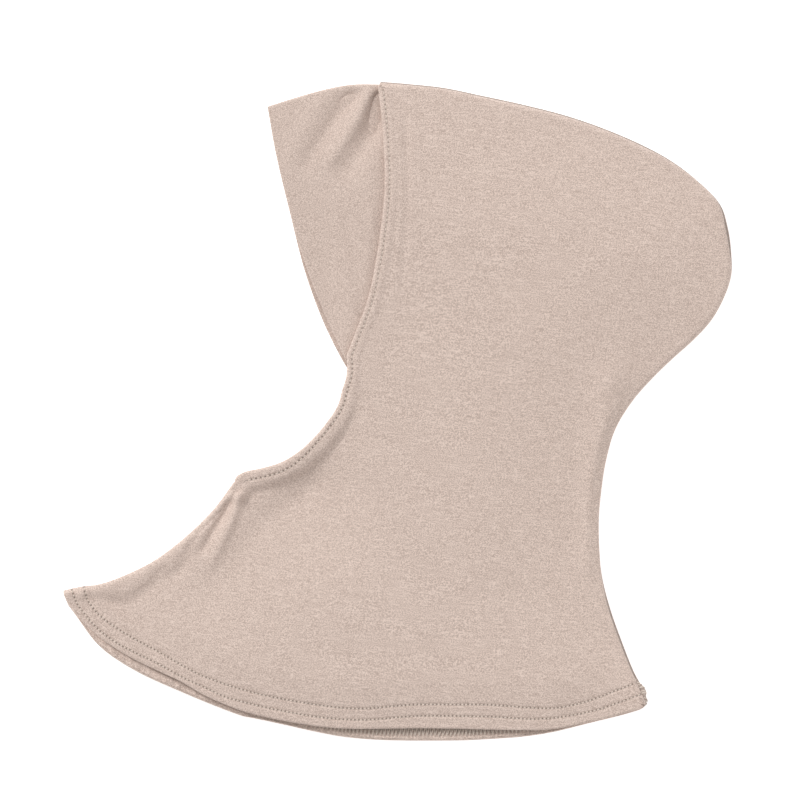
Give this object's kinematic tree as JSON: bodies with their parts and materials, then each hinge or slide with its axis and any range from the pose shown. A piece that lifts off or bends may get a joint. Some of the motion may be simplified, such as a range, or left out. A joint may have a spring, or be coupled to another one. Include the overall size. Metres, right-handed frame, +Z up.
{
  "type": "hijab underscarf cap",
  "caption": "Full-cover jersey underscarf hood with a doubled brow band, lying flat on its side, open at the face and the neck.",
  "frame": {"origin": "middle of the underside of the whole cap as it lies, on the surface that it rests on", "axes": "+Z up from the surface and out of the near layer, -X towards the face opening, +Y towards the crown, -Y towards the neck hem"},
  "size_m": [0.3694, 0.3646, 0.014],
  "materials": {
    "hood_jersey": "matt beige viscose jersey with a fine heather",
    "band_jersey": "matt beige viscose jersey, doubled",
    "hem_jersey": "matt beige viscose jersey, wrong side, turned in",
    "sewing_thread": "spun polyester sewing thread, matching beige"
  },
  "bodies": {
    "root": {"hood_body": "hood_jersey", "brow_band": "band_jersey", "face_hem": "hem_jersey", "neck_hem": "hem_jersey", "back_seam": "sewing_thread"}
  },
  "joints": []
}
